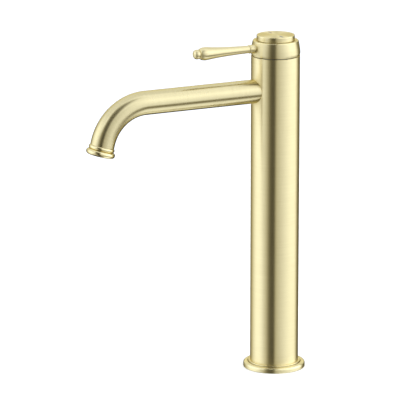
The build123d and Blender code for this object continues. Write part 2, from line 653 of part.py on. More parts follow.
# Handle cap: hollow turned cap, clamped on the stem's square. Its rim is turned on the pivot's
# own centre, so it keeps one clearance to the bowl over the whole tilt
with BuildPart() as handle_cap:
    with BuildSketch(Plane.XZ):
        with BuildLine():
            top_r = CAP_SHOULDER_R - CAP_EDGE_H
            Line((0, CAP_RIM_Z), (CAP_RIM_R, CAP_RIM_Z))
            RadiusArc((CAP_RIM_R, CAP_RIM_Z), (CAP_R, CAP_WIDEST_Z), -RIM_SWEEP_R)
            ThreePointArc(
                (CAP_R, CAP_WIDEST_Z),
                (CAP_WAIST_R, PIVOT_Z),
                (CAP_SHOULDER_R, CAP_SHOULDER_Z),
            )
            Spline(
                (CAP_SHOULDER_R, CAP_SHOULDER_Z),
                (top_r, CAP_TOP),
                tangents=[(-CAP_SHOULDER_SLOPE, 1), (-1, 0)],
            )
            Line((top_r, CAP_TOP), (0, CAP_TOP))
            Line((0, CAP_TOP), (0, CAP_RIM_Z))
        make_face()
    revolve(axis=Axis.Z)
    with BuildSketch(Plane.XY.offset(CAP_RIM_Z)):
        Circle(CAP_BORE_R)
    extrude(amount=CAP_ROOF_Z - CAP_RIM_Z, mode=Mode.SUBTRACT)
    with BuildSketch(lever_plane(LEVER_BOSS_END)):
        Circle(LEVER_BOSS_R)
        with Locations((0, CAP_ROOF_Z - PIVOT_Z + LEVER_BOSS_R)):
            Rectangle(2 * LEVER_BOSS_R, 2 * LEVER_BOSS_R, mode=Mode.SUBTRACT)
    extrude(amount=CAP_BORE_R - LEVER_BOSS_END + CAP_WALL / 2)
    with BuildSketch(Plane.XY.offset(RECESS_FLOOR)):
        Circle(SPIGOT_R)
    extrude(amount=CAP_RECESS_DEPTH, mode=Mode.SUBTRACT)
    with BuildSketch(Plane.XY.offset(CAP_ROOF_Z)):
        Rectangle(2 * STEM_SQUARE_HALF, 2 * STEM_SQUARE_HALF)
    extrude(amount=CAP_ROOF, mode=Mode.SUBTRACT)
    with BuildSketch(lever_plane(LEVER_BOSS_END)):
        Circle(LEVER_STUD_R)
    extrude(amount=CAP_R, mode=Mode.SUBTRACT)
save(handle_cap, "handle_cap")

# Handle screw and washer: clamp the cap to the stem, hidden under the cover disc
with BuildPart() as handle_washer:
    with BuildSketch(Plane.XY.offset(RECESS_FLOOR)):
        Circle(WASHER_R)
        Circle(HANDLE_SCREW_R, mode=Mode.SUBTRACT)
    extrude(amount=WASHER_T)
save(handle_washer, "handle_washer")

with BuildPart() as handle_screw:
    with BuildSketch(Plane.XY.offset(RECESS_FLOOR - HANDLE_SCREW_LENGTH)):
        Circle(HANDLE_SCREW_R)
    extrude(amount=HANDLE_SCREW_LENGTH + WASHER_T)
    with BuildSketch(Plane.XY.offset(RECESS_FLOOR + WASHER_T)):
        Circle(HANDLE_SCREW_HEAD_R)
    extrude(amount=HANDLE_SCREW_HEAD_H)
    with BuildSketch(Plane.XY.offset(RECESS_FLOOR + WASHER_T + HANDLE_SCREW_HEAD_H)):
        RegularPolygon(HANDLE_SCREW_HEX / 2, HEX_SIDES, major_radius=False)
    extrude(amount=-HANDLE_SCREW_HEX_DEPTH, mode=Mode.SUBTRACT)
save(handle_screw, "handle_screw")

# Cover disc: shallow turned lid with a spigot, an O-ring groove and two marks sunk in its top
with BuildPart() as cover_disc:
    with BuildSketch(Plane.XY.offset(CAP_TOP)):
        Circle(COVER_R)
    extrude(amount=DISC_H)
    rim_edges = cover_disc.edges().filter_by(GeomType.CIRCLE).group_by(Axis.Z)[-1]
    fillet(rim_edges, radius=2 * FINE_EDGE)
    with BuildSketch(Plane.XY.offset(RECESS_FLOOR)):
        Circle(SPIGOT_R)
    extrude(amount=CAP_RECESS_DEPTH)
    with BuildSketch(Plane.XY.offset(RECESS_FLOOR)):
        Circle(SPIGOT_R - SPIGOT_WALL)
    extrude(amount=COVER_TOP - DISC_SKIN - RECESS_FLOOR, mode=Mode.SUBTRACT)
    with BuildSketch(Plane.XY.offset(RECESS_FLOOR)):
        Circle(SPIGOT_R)
        Circle(SPIGOT_R - DISC_RING_GROOVE, mode=Mode.SUBTRACT)
    extrude(amount=2 * FINE_EDGE, mode=Mode.SUBTRACT)
    with BuildSketch(Plane.XY.offset(COVER_TOP)):
        with Locations((-MARK_AT, 0), (MARK_AT, 0)):
            SlotOverall(MARK_LENGTH, MARK_WIDTH)
    extrude(amount=-MARK_DEPTH, mode=Mode.SUBTRACT)
save(cover_disc, "cover_disc")

# Cover O-ring: holds the cover disc in the cap by friction
with BuildPart() as cover_o_ring:
    with BuildSketch(Plane.XY.offset(RECESS_FLOOR)):
        Circle(SPIGOT_R)
        Circle(SPIGOT_R - DISC_RING_GROOVE, mode=Mode.SUBTRACT)
    extrude(amount=2 * FINE_EDGE)
save(cover_o_ring, "cover_o_ring")

# Hot and cold marks: enamel fills in the cover disc
for mark_name, side in (("hot_mark", -1), ("cold_mark", 1)):
    with BuildPart() as mark:
        with BuildSketch(Plane.XY.offset(COVER_TOP - MARK_DEPTH)):
            with Locations((side * MARK_AT, 0)):
                SlotOverall(MARK_LENGTH, MARK_WIDTH)
        extrude(amount=MARK_DEPTH - MARK_SUNK)
    save(mark, mark_name)

# Lever collar: small ring between the cap and the lever, coped onto the cap
with BuildPart() as lever_collar:
    with BuildSketch(lever_plane(CAP_BORE_R)):
        Circle(COLLAR_R)
        Circle(LEVER_STUD_R, mode=Mode.SUBTRACT)
    extrude(amount=COLLAR_END - CAP_BORE_R)
    front_edges = lever_collar.edges().filter_by(GeomType.CIRCLE).group_by(Axis.Y)[0]
    fillet(front_edges.sort_by(SortBy.RADIUS)[-1], radius=2 * FINE_EDGE)
    add(handle_cap.part, mode=Mode.SUBTRACT)
lever_collar.part = lever_collar.part.solids().sort_by(Axis.Y)[0]
save(lever_collar, "lever_collar")

# Lever: turned pin that swells towards its end, a neck and a flattened ball, threaded root
swell_length = LEVER_WIDEST_AT - COLLAR_END
swell_height = LEVER_WIDEST_R - LEVER_ROOT_R
swell_points = [
    (LEVER_ROOT_R + swell_height * height, COLLAR_END + swell_length * length)
    for height, length in (SWELL_NEAR, SWELL_FAR)
]
with BuildPart() as lever:
    with BuildSketch(Plane.XZ):
        with BuildLine():
            Polyline(
                (0, LEVER_BOSS_END),
                (LEVER_STUD_R, LEVER_BOSS_END),
                (LEVER_STUD_R, COLLAR_END),
                (LEVER_ROOT_R, COLLAR_END),
            )
            Spline(
                (LEVER_ROOT_R, COLLAR_END),
                *swell_points,
                (LEVER_WIDEST_R, LEVER_WIDEST_AT),
                tangents=[(0, 1), (0, 1)],
            )
            Spline(
                (LEVER_WIDEST_R, LEVER_WIDEST_AT),
                (LEVER_NECK_R, LEVER_NECK_AT),
                tangents=[(0, 1), (-1, NECK_SLOPE)],
            )
            Spline(
                (LEVER_NECK_R, LEVER_NECK_AT),
                (LEVER_BALL_R, (LEVER_NECK_AT + LEVER_REACH) / 2),
                (0, LEVER_REACH),
                tangents=[(BALL_SLOPE, 1), (-1, 0)],
            )
            Line((0, LEVER_REACH), (0, LEVER_BOSS_END))
        make_face()
    revolve(axis=Axis.Z)
lever.part = lever.part.moved(lever_plane(0).location)
save(lever, "lever")
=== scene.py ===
import json
import math

import bpy
from mathutils import Matrix, Vector


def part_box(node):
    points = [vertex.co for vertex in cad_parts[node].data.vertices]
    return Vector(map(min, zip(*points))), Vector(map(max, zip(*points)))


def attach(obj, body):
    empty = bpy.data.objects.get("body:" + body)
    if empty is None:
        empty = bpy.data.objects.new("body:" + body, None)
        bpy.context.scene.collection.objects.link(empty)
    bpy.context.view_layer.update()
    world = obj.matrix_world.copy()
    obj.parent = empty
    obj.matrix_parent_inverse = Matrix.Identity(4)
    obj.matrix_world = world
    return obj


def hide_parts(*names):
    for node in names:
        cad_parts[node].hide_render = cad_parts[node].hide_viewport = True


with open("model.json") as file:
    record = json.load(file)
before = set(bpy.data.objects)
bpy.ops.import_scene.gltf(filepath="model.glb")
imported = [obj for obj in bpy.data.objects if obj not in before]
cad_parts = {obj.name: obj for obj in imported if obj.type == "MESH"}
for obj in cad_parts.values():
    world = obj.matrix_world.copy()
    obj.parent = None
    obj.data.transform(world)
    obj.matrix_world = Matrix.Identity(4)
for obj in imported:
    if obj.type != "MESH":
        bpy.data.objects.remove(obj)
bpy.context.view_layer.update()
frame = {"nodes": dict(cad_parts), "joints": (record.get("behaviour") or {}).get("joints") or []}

nodes = frame["nodes"]
MM = 0.001


# ---- Base flange -------------------------------------------------------------------------
# A ring turned from brass bar and brushed on the lathe, with a bead against the column, a
# fine groove and a rounded edge. It hides the hole in the deck and holds the column's foot.

SEGMENTS = 192
ARC_STEPS = 6
SUPPORT = 0.12
SHARP_EDGE = math.radians(32)


def rounded(corners, closed=True):
    """Outline through (radius, height, rounding) corners in mm, as (radius, height, edge).
    A fourth number shades a sharp corner: below 0 it is a groove, which the brass paints darker as
    painted shade."""
    outline = []
    count = len(corners)
    for i, (r, h, rounding, *shade) in enumerate(corners):
        here = Vector((r, h))
        inner = closed or 0 < i < count - 1
        if rounding <= 0 or not inner:
            outline.append((r, h, shade[0] if shade else 0.0))
            continue
        back = Vector(corners[i - 1][:2]) - here
        ahead = Vector(corners[(i + 1) % count][:2]) - here
        half = back.angle(ahead) / 2
        reach = rounding / math.tan(half)
        centre = here + (back.normalized() + ahead.normalized()).normalized() * (
            rounding / math.sin(half)
        )
        start = here + back.normalized() * reach
        end = here + ahead.normalized() * reach
        first = start + back.normalized() * SUPPORT * rounding
        last = end + ahead.normalized() * SUPPORT * rounding
        outline.append((first.x, first.y, 0.0))
        spoke = start - centre
        from_angle = math.atan2(spoke.y, spoke.x)
        turn = spoke.angle_signed(end - centre)
        for step in range(ARC_STEPS + 1):
            a = from_angle - turn * step / ARC_STEPS
            point = centre + Vector((math.cos(a), math.sin(a))) * rounding
            outline.append((point.x, point.y, 1.0))
        outline.append((last.x, last.y, 0.0))
    return outline


def arc_through(a, b, c, steps=16):
    """Points of the circle through three (radius, height) points in mm, ends left out."""
    ax, ay, bx, by, cx, cy = *a, *b, *c
    d = 2 * (ax * (by - cy) + bx * (cy - ay) + cx * (ay - by))
    aa, bb, cc = ax * ax + ay * ay, bx * bx + by * by, cx * cx + cy * cy
    centre = Vector(
        (
            (aa * (by - cy) + bb * (cy - ay) + cc * (ay - by)) / d,
            (aa * (cx - bx) + bb * (ax - cx) + cc * (bx - ax)) / d,
        )
    )
    spoke_a, spoke_b, spoke_c = (Vector(p) - centre for p in (a, b, c))
    turn = spoke_a.angle_signed(spoke_b) + spoke_b.angle_signed(spoke_c)
    points = []
    for step in range(1, steps):
        spoke = spoke_a.copy()
        spoke.rotate(Matrix.Rotation(-turn * step / steps, 2))
        points.append((centre.x + spoke.x, centre.y + spoke.y, 0))
    return points


def turned(name, outline, placed=Matrix.Identity(4), segments=SEGMENTS, poles=False):
    """A piece turned on a lathe: its outline goes once round the axis, and closes on itself
    or, with poles, starts and ends on the axis. The outline is in mm, the piece in metres."""
    rings, across, edge, vertices = [], [], [], []
    length, last = 0.0, None
    for r, h, rim in outline:
        point = Vector((r, h))
        length += (point - last).length if last is not None else 0.0
        last = point
        on_axis = r < 1e-6
        ring = []
        for s in range(1 if on_axis else segments):
            a = 2 * math.pi * s / segments
            ring.append(len(vertices))
            vertices.append(Vector((r * math.cos(a), r * math.sin(a), h)) * MM)
            across.append(length * MM)
            edge.append(rim)
        rings.append((ring, length))
    faces, uvs = [], []
    pairs = list(zip(rings, rings[1:]))
    if not poles:
        pairs.append((rings[-1], (rings[0][0], length + (Vector(outline[0][:2]) - last).length)))
    for (low, v0), (high, v1) in pairs:
        for s in range(segments):
            n = (s + 1) % segments
            u0, u1 = s / segments, (s + 1) / segments
            if len(low) == 1 and len(high) == 1:
                continue
            if len(low) == 1:
                faces.append((low[0], high[n], high[s]))
                uvs += [(u0, v0 * MM), (u1, v1 * MM), (u0, v1 * MM)]
            elif len(high) == 1:
                faces.append((low[s], low[n], high[0]))
                uvs += [(u0, v0 * MM), (u1, v0 * MM), (u0, v1 * MM)]
            else:
                faces.append((low[s], low[n], high[n], high[s]))
                uvs += [(u0, v0 * MM), (u1, v0 * MM), (u1, v1 * MM), (u0, v1 * MM)]
    volume = sum(
        vertices[f[0]].dot(vertices[f[i]].cross(vertices[f[i + 1]]))
        for f in faces
        for i in range(1, len(f) - 1)
    )
    mesh = bpy.data.meshes.new(name)
    mesh.from_pydata(vertices, [], faces)
    layer = mesh.uv_layers.new(name="turning")
    layer.data.foreach_set("uv", [c for uv in uvs for c in uv])
    for label, values in (("across", across), ("edge", edge)):
        mesh.attributes.new(label, "FLOAT", "POINT").data.foreach_set("value", values)
    if volume < 0:
        mesh.flip_normals()
    mesh.transform(placed)
    mesh.shade_smooth()
    mesh.set_sharp_from_angle(angle=SHARP_EDGE)
    piece = bpy.data.objects.new(name, mesh)
    bpy.context.scene.collection.objects.link(piece)
    return piece


def node_group(name, inputs, outputs):
    """An empty shader group with named sockets: (name, kind, default) and (name, kind)."""
    group = bpy.data.node_groups.new(name, "ShaderNodeTree")
    for label, kind, default in inputs:
        socket = group.interface.new_socket(label, in_out="INPUT", socket_type=kind)
        if default is not None:
            socket.default_value = default
    for label, kind in outputs:
        group.interface.new_socket(label, in_out="OUTPUT", socket_type=kind)
    return group


def add_node(tree, kind, links=(), **settings):
    """A node with its settings, and its inputs as values or as linked outputs."""
    node = tree.nodes.new(kind)
    for key, value in settings.items():
        setattr(node, key, value)
    for key, value in dict(links).items():
        if isinstance(value, bpy.types.NodeSocket):
            tree.links.new(value, node.inputs[key])
        else:
            node.inputs[key].default_value = value
    return node


def maths(tree, operation, a, b, **settings):
    """The result of one step of arithmetic on shader values."""
    step = add_node(tree, "ShaderNodeMath", {0: a, 1: b}, operation=operation, **settings)
    return step.outputs[0]


def blend_colour(tree, share, first, second):
    """The colour a share of the way from the first to the second."""
    mix = add_node(tree, "ShaderNodeMix", {0: share, 6: first, 7: second}, data_type="RGBA")
    return mix.outputs[2]


def make_brushing():
    """Fine lines left by an abrasive pad: long along the cut, a fraction of a mm across it."""
    group = node_group(
        "brushing",
        [
            ("Place", "NodeSocketVector", None),
            ("Across", "NodeSocketFloat", 0.0),
            ("Line", "NodeSocketFloat", 0.0002),
            ("Reach", "NodeSocketFloat", 40.0),
        ],
        [("Lines", "NodeSocketFloat"), ("Bands", "NodeSocketFloat"), ("Marks", "NodeSocketFloat")],
    )
    g_in = group.nodes.new("NodeGroupInput")
    g_out = group.nodes.new("NodeGroupOutput")
    slow = add_node(
        group,
        "ShaderNodeVectorMath",
        {0: g_in.outputs["Place"], "Scale": g_in.outputs["Reach"]},
        operation="SCALE",
    ).outputs[0]
    fine_w = maths(group, "DIVIDE", g_in.outputs["Across"], g_in.outputs["Line"])
    broad_w = maths(group, "MULTIPLY", fine_w, 0.11)
    lines = add_node(
        group,
        "ShaderNodeTexNoise",
        {"Vector": slow, "W": fine_w, "Scale": 1.0, "Detail": 3.0, "Roughness": 0.65},
        noise_dimensions="4D",
    )
    bands = add_node(
        group,
        "ShaderNodeTexNoise",
        {"Vector": slow, "W": broad_w, "Scale": 1.0, "Detail": 2.0, "Roughness": 0.5},
        noise_dimensions="4D",
    )
    marks = add_node(
        group,
        "ShaderNodeTexNoise",
        {"Vector": g_in.outputs["Place"], "Scale": 55.0, "Detail": 4.0, "Roughness": 0.55},
    )
    for source, label in ((lines, "Lines"), (bands, "Bands"), (marks, "Marks")):
        spread = add_node(
            group,
            "ShaderNodeMapRange",
            {"Value": source.outputs[0], "From Min": 0.3, "From Max": 0.7},
        )
        group.links.new(spread.outputs[0], g_out.inputs[label])
    return group


brushing = make_brushing()
BRASS_DARK = (0.75, 0.658, 0.368)
BRASS_LIGHT = (0.82, 0.727, 0.424)
BRASS_EDGE = (0.85, 0.765, 0.45, 1)
# Painted shade: the dark brown that grooves are painted with, standing in for the shade that falls
# in them.
BRASS_GROOVE_SHADE = (0.16, 0.12, 0.05, 1)
BRASS_GRAZING = (0.86, 0.76, 0.46, 1)


def champagne_brass(name, roughness=0.33, line=0.00022, depth=0.0000008, grain=1.0, tone=1.0):
    """Brass with a champagne-gold vapour coat over a fine circular brushing. The lines follow
    the piece's own across attribute; grain is how far they stretch the highlights."""
    material = bpy.data.materials.new(name)
    material.use_nodes = True
    tree = material.node_tree
    shader = tree.nodes["Principled BSDF"]
    place = add_node(tree, "ShaderNodeTexCoord").outputs["Object"]
    across = add_node(tree, "ShaderNodeAttribute", attribute_name="across").outputs["Fac"]
    edge = add_node(tree, "ShaderNodeAttribute", attribute_name="edge").outputs["Fac"]
    brush = add_node(tree, "ShaderNodeGroup", node_tree=brushing)
    tree.links.new(place, brush.inputs["Place"])
    tree.links.new(across, brush.inputs["Across"])
    brush.inputs["Line"].default_value = line
    lines = add_node(
        tree, "ShaderNodeMix", {0: 0.35, 2: brush.outputs["Lines"], 3: brush.outputs["Bands"]}
    )
    # tone scales the brass colour: lighter and darker copies of one brass, set part by part to how
    # bright each part looks in this studio light, so painted light and painted shade.
    dark, light = ((*(part * tone for part in shade), 1) for shade in (BRASS_DARK, BRASS_LIGHT))
    colour = blend_colour(tree, lines.outputs[0], dark, light)
    worn = blend_colour(tree, edge, colour, BRASS_EDGE)
    # Painted shade: corners marked below 0 are painted towards a dark brown, for the shade in
    # grooves and creases.
    groove = maths(tree, "MULTIPLY", edge, -0.85, use_clamp=True)
    groove_shaded = blend_colour(tree, groove, worn, BRASS_GROOVE_SHADE)
    tree.links.new(groove_shaded, shader.inputs["Base Color"])
    rough = add_node(
        tree,
        "ShaderNodeMapRange",
        {"Value": brush.outputs["Marks"], "To Min": roughness - 0.015, "To Max": roughness + 0.02},
    )
    polished = add_node(
        tree, "ShaderNodeMath", {0: edge, 1: -0.08, 2: rough.outputs[0]}, operation="MULTIPLY_ADD"
    )
    tree.links.new(polished.outputs[0], shader.inputs["Roughness"])
    bump = add_node(
        tree,
        "ShaderNodeBump",
        {"Height": brush.outputs["Lines"], "Distance": depth, "Strength": 1.0},
    )
    tree.links.new(bump.outputs[0], shader.inputs["Normal"])
    tangent = add_node(tree, "ShaderNodeTangent", direction_type="UV_MAP", uv_map="turning")
    tree.links.new(tangent.outputs[0], shader.inputs["Tangent"])
    shader.inputs["Metallic"].default_value = 1.0
    shader.inputs["Anisotropic"].default_value = grain
    shader.inputs["Specular Tint"].default_value = BRASS_GRAZING
    shader.inputs["Anisotropic Rotation"].default_value = 0.25
    return material


def finish_piece(piece, material, body, slot, *replaced):
    """Gives a piece its material, its body and the nodes it stands for; the slot is not used."""
    piece.data.materials.clear()
    piece.data.materials.append(material)
    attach(piece, body)
    if replaced:
        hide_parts(*replaced)


column_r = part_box("column_tube")[1].x / MM
foot_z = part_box("column_tube")[0].z / MM
flange_r, flange_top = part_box("base_flange")[1].x / MM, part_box("base_flange")[1].z / MM
seal_r, seal_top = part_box("base_seal")[1].x / MM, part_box("base_seal")[1].z / MM
SEAL_WIDTH = 2.2
FLANGE_LIFT = 4.9
BEAD_WIDTH = 1.8
GROOVE = (0.6, 4.55)
plate_r = seal_r - SEAL_WIDTH - 1.0
bead_r = column_r + BEAD_WIDTH
base_flange = turned(
    "base_flange_ring",
    rounded(
        [
            (plate_r, 0, 0.15),
            (plate_r, foot_z, 0),
            (column_r, foot_z, 0),
            (column_r, flange_top, 0.12),
            (bead_r, flange_top - 0.1, 0.45),
            # Below 0: painted shade, the brass painted darker in the groove where shade falls.
            (bead_r, GROOVE[1] + 0.15, 0, -0.6),
            (bead_r, GROOVE[1], 0, -1.0),
            (bead_r + GROOVE[0], GROOVE[1], 0, -1.0),
            (bead_r + GROOVE[0], FLANGE_LIFT + 0.2, 0.2),
            (flange_r, FLANGE_LIFT - 0.15, 2.1),
            (flange_r, 0, 0.6),
            (seal_r, 0, 0.1),
            (seal_r, seal_top, 0),
            (seal_r - SEAL_WIDTH, seal_top, 0),
            (seal_r - SEAL_WIDTH, 0, 0.1),
        ]
    ),
)
# tone 1.1 makes this copy of the brass lighter than the rest: painted light on the column and base
# flange.
brass = champagne_brass("champagne_brass", tone=1.1)
finish_piece(base_flange, brass, "column", "brushed_brass", "base_flange")


# ---- Base seal, base block and supply tubes ----------------------------------------------
# The foot of the column: a moulded rubber ring under the flange, a plug turned from raw
# brass with the two inlets and the stud holes, and two drawn copper tubes up to the valve.


TOOL_MARK_DEPTH = 0.000006


def bare_metal(name, dark, light, roughness, scale):
    """Machined metal with no coat: fine tool marks and faint blotches of tarnish."""
    material = bpy.data.materials.new(name)
    material.use_nodes = True
    tree = material.node_tree
    shader = tree.nodes["Principled BSDF"]
    place = add_node(tree, "ShaderNodeTexCoord").outputs["Object"]
    split = add_node(tree, "ShaderNodeSeparateXYZ", {0: place})
    brush = add_node(tree, "ShaderNodeGroup", node_tree=brushing)
    tree.links.new(place, brush.inputs["Place"])
    tree.links.new(split.outputs["Z"], brush.inputs["Across"])
    brush.inputs["Line"].default_value = scale
    blotch = add_node(
        tree, "ShaderNodeMix", {0: 0.5, 2: brush.outputs["Marks"], 3: brush.outputs["Lines"]}
    )
    colour = blend_colour(tree, blotch.outputs[0], dark, light)
    tree.links.new(colour, shader.inputs["Base Color"])
    rough = add_node(
        tree,
        "ShaderNodeMapRange",
        {"Value": blotch.outputs[0], "To Min": roughness - 0.06, "To Max": roughness + 0.08},
    )
    tree.links.new(rough.outputs[0], shader.inputs["Roughness"])
    tool_marks = {"Height": brush.outputs["Lines"], "Distance": TOOL_MARK_DEPTH}
    bump = add_node(tree, "ShaderNodeBump", tool_marks)
    tree.links.new(bump.outputs[0], shader.inputs["Normal"])
    shader.inputs["Metallic"].default_value = 1.0
    return material


def moulded(name, dark, light, roughness, grain=900.0, depth=0.00001):
    """Moulded plastic, rubber or pressed ceramic: a fine grain and a slight change of tone."""
    material = bpy.data.materials.new(name)
    material.use_nodes = True
    tree = material.node_tree
    shader = tree.nodes["Principled BSDF"]
    place = add_node(tree, "ShaderNodeTexCoord").outputs["Object"]
    cloud = add_node(
        tree, "ShaderNodeTexNoise", {"Vector": place, "Scale": 60.0, "Detail": 3.0}
    ).outputs[0]
    colour = blend_colour(tree, cloud, dark, light)
    tree.links.new(colour, shader.inputs["Base Color"])
    fine = add_node(
        tree, "ShaderNodeTexNoise", {"Vector": place, "Scale": grain, "Detail": 2.0}
    ).outputs[0]
    rough = add_node(
        tree,
        "ShaderNodeMapRange",
        {"Value": fine, "To Min": roughness - 0.05, "To Max": roughness + 0.07},
    )
    tree.links.new(rough.outputs[0], shader.inputs["Roughness"])
    bump = add_node(tree, "ShaderNodeBump", {"Height": fine, "Distance": depth})
    tree.links.new(bump.outputs[0], shader.inputs["Normal"])
    return material


def dress(material, *names):
    """Puts a material on CAD nodes that keep their own shape."""
    for name in names:
        nodes[name].data.materials.clear()
        nodes[name].data.materials.append(material)


raw_brass = bare_metal("raw_brass", (0.50, 0.34, 0.13, 1), (0.68, 0.50, 0.23, 1), 0.32, 0.0004)
copper = bare_metal("drawn_copper", (0.58, 0.27, 0.16, 1), (0.76, 0.42, 0.28, 1), 0.30, 0.002)
rubber = moulded("black_rubber", (0.012, 0.012, 0.012, 1), (0.028, 0.028, 0.028, 1), 0.62)
dress(raw_brass, "base_block")
dress(copper, "hot_tube", "cold_tube")
dress(rubber, "base_seal")


# ---- Column ------------------------------------------------------------------------------
# A drawn brass tube, brushed round and round on a lathe. A bowl is turned in its top, so
# that the cap's rim can dip inside when the lever lifts.

lift_joint = next(j for j in frame["joints"] if j["name"] == "handle_lift")
pivot_z = lift_joint["pos_m"][2] / MM
column_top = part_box("column_tube")[1].z / MM
bore_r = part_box("valve_block")[1].x / MM
cap_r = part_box("handle_cap")[1].x / MM
CAP_WIDEST = 299.0
CAP_TO_BOWL = 0.3
sweep_r = math.hypot(cap_r, pivot_z - CAP_WIDEST)
bowl_r = sweep_r + CAP_TO_BOWL
BOWL_STEPS = 14
lip = math.acos((pivot_z - column_top) / bowl_r)
bottom = math.asin(bore_r / bowl_r)
bowl = [
    (
        bowl_r * math.sin(lip + (bottom - lip) * i / BOWL_STEPS),
        pivot_z - bowl_r * math.cos(lip + (bottom - lip) * i / BOWL_STEPS),
        0,
    )
    for i in range(BOWL_STEPS + 1)
]
column = turned(
    "column_body",
    rounded([(bore_r, foot_z, 0.2), (column_r, foot_z, 0.2), (column_r, column_top, 0.08), *bowl]),
    segments=256,
)
finish_piece(column, brass, "column", "brushed_brass", "column_tube")


# ---- Valve block and cartridge -----------------------------------------------------------
# Inside the column's top: a block machined from raw brass with its rubber seals, and a
# moulded cartridge with two lapped ceramic discs, held down by a brass nut.

acetal = moulded("white_acetal", (0.72, 0.72, 0.69, 1), (0.82, 0.82, 0.80, 1), 0.38)
alumina = moulded(
    "lapped_alumina",
    (0.80, 0.77, 0.72, 1),
    (0.88, 0.86, 0.82, 1),
    0.16,
    grain=2500.0,
    depth=0.000002,
)
steel = bare_metal("stainless_steel", (0.50, 0.50, 0.51, 1), (0.66, 0.66, 0.67, 1), 0.26, 0.0003)
dress(raw_brass, "valve_block", "cartridge_nut")
dress(rubber, "block_o_rings", "port_seal")
dress(acetal, "cartridge_housing", "cartridge_base", "turret", "disc_carrier")
dress(alumina, "fixed_disc", "moving_disc")
dress(steel, "stem", "stem_pin", "handle_screw", "handle_washer")


# ---- Spout -------------------------------------------------------------------------------
# A brass tube, brushed straight on the lathe and then bent once round a former. Its inner
# end is cut to the column's curve and silver-soldered there.

SPOUT_AXIS_Z = 264.6
SPOUT_STRAIGHT = 132.8
SPOUT_BEND_R = 43.6
SPOUT_TURN = math.radians(75.0)
SPOUT_TAIL = 3.4
SPOUT_WALL = 1.5
spout_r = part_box("spout_tube")[1].x / MM
spout_bore = spout_r - SPOUT_WALL
spout_length = SPOUT_STRAIGHT + SPOUT_BEND_R * SPOUT_TURN + SPOUT_TAIL
COPE_R = column_r - 1.2


def spout_frame(beyond):
    """Where the spout ends, beyond mm past its bend, with local Z along the water's way."""
    down = Vector((0, -math.cos(SPOUT_TURN), -math.sin(SPOUT_TURN)))
    end = Vector(
        (
            0,
            -SPOUT_STRAIGHT - SPOUT_BEND_R * math.sin(SPOUT_TURN),
            SPOUT_AXIS_Z - SPOUT_BEND_R * (1 - math.cos(SPOUT_TURN)),
        )
    )
    across_x = Vector((1, 0, 0))
    up = down.cross(across_x)
    turn = Matrix((across_x, up, down)).transposed().to_4x4()
    return Matrix.Translation((end + down * beyond) * MM) @ turn


def make_centreline():
    """The former's line: straight out of the column, then one arc, then a short tail."""
    curve = bpy.data.curves.new("spout_line", "CURVE")
    curve.dimensions = "3D"
    points = [Vector((0, 0, SPOUT_AXIS_Z)), Vector((0, -SPOUT_STRAIGHT, SPOUT_AXIS_Z))]
    arc_steps = 48
    for i in range(1, arc_steps + 1):
        a = SPOUT_TURN * i / arc_steps
        points.append(
            Vector(
                (
                    0,
                    -SPOUT_STRAIGHT - SPOUT_BEND_R * math.sin(a),
                    SPOUT_AXIS_Z - SPOUT_BEND_R * (1 - math.cos(a)),
                )
            )
        )
    points.append(spout_frame(SPOUT_TAIL + 1.0).translation / MM)
    spline = curve.splines.new("POLY")
    spline.points.add(len(points) - 1)
    for p, place in zip(spline.points, points):
        p.co = (*(place * MM), 1)
    line = bpy.data.objects.new("spout_line", curve)
    bpy.context.scene.collection.objects.link(line)
    return line


def make_bender():
    """Geometry Nodes tube bender: a straight tube along +Z is laid along a centreline."""
    tree = bpy.data.node_groups.new("tube_bender", "GeometryNodeTree")
    tree.interface.new_socket("Geometry", in_out="INPUT", socket_type="NodeSocketGeometry")
    tree.interface.new_socket("Centreline", in_out="INPUT", socket_type="NodeSocketObject")
    tree.interface.new_socket("Finish", in_out="INPUT", socket_type="NodeSocketMaterial")
    tree.interface.new_socket("Geometry", in_out="OUTPUT", socket_type="NodeSocketGeometry")
    g_in = tree.nodes.new("NodeGroupInput")
    g_out = tree.nodes.new("NodeGroupOutput")
    line = add_node(tree, "GeometryNodeObjectInfo", {"Object": g_in.outputs["Centreline"]})
    place = add_node(tree, "GeometryNodeInputPosition")
    split = add_node(tree, "ShaderNodeSeparateXYZ", {0: place.outputs[0]})
    sample = add_node(
        tree,
        "GeometryNodeSampleCurve",
        {"Curves": line.outputs["Geometry"], "Length": split.outputs["Z"]},
        mode="LENGTH",
        use_all_curves=False,
    )
    sideways = add_node(tree, "FunctionNodeInputVector", vector=(1.0, 0.0, 0.0))
    up = add_node(
        tree,
        "ShaderNodeVectorMath",
        {0: sample.outputs["Tangent"], 1: sideways.outputs[0]},
        operation="CROSS_PRODUCT",
    )

    def scaled(direction, amount):
        return add_node(
            tree, "ShaderNodeVectorMath", {0: direction, "Scale": amount}, operation="SCALE"
        ).outputs[0]

    x_part = scaled(sideways.outputs[0], split.outputs["X"])
    y_part = scaled(up.outputs[0], split.outputs["Y"])
    section = add_node(tree, "ShaderNodeVectorMath", {0: x_part, 1: y_part})
    bent = add_node(
        tree, "ShaderNodeVectorMath", {0: sample.outputs["Position"], 1: section.outputs[0]}
    )
    moved = add_node(
        tree,
        "GeometryNodeSetPosition",
        {"Geometry": g_in.outputs["Geometry"], "Position": bent.outputs[0]},
    )
    real = add_node(tree, "GeometryNodeRealizeInstances", {0: moved.outputs[0]})
    painted = add_node(
        tree,
        "GeometryNodeSetMaterial",
        {"Geometry": real.outputs[0], "Material": g_in.outputs["Finish"]},
    )
    tree.links.new(painted.outputs[0], g_out.inputs[0])
    return tree


def through_nodes(piece, tree, **inputs):
    """Runs a piece through a Geometry Nodes tree once and keeps the plain mesh."""
    modifier = piece.modifiers.new("made", "NODES")
    modifier.node_group = tree
    names = {s.name: s.identifier for s in tree.interface.items_tree if s.in_out == "INPUT"}
    for label, value in inputs.items():
        modifier[names[label]] = value
    graph = bpy.context.evaluated_depsgraph_get()
    made = bpy.data.meshes.new_from_object(
        piece.evaluated_get(graph), preserve_all_data_layers=True, depsgraph=graph
    )
    piece.modifiers.remove(modifier)
    piece.data = made
    return piece


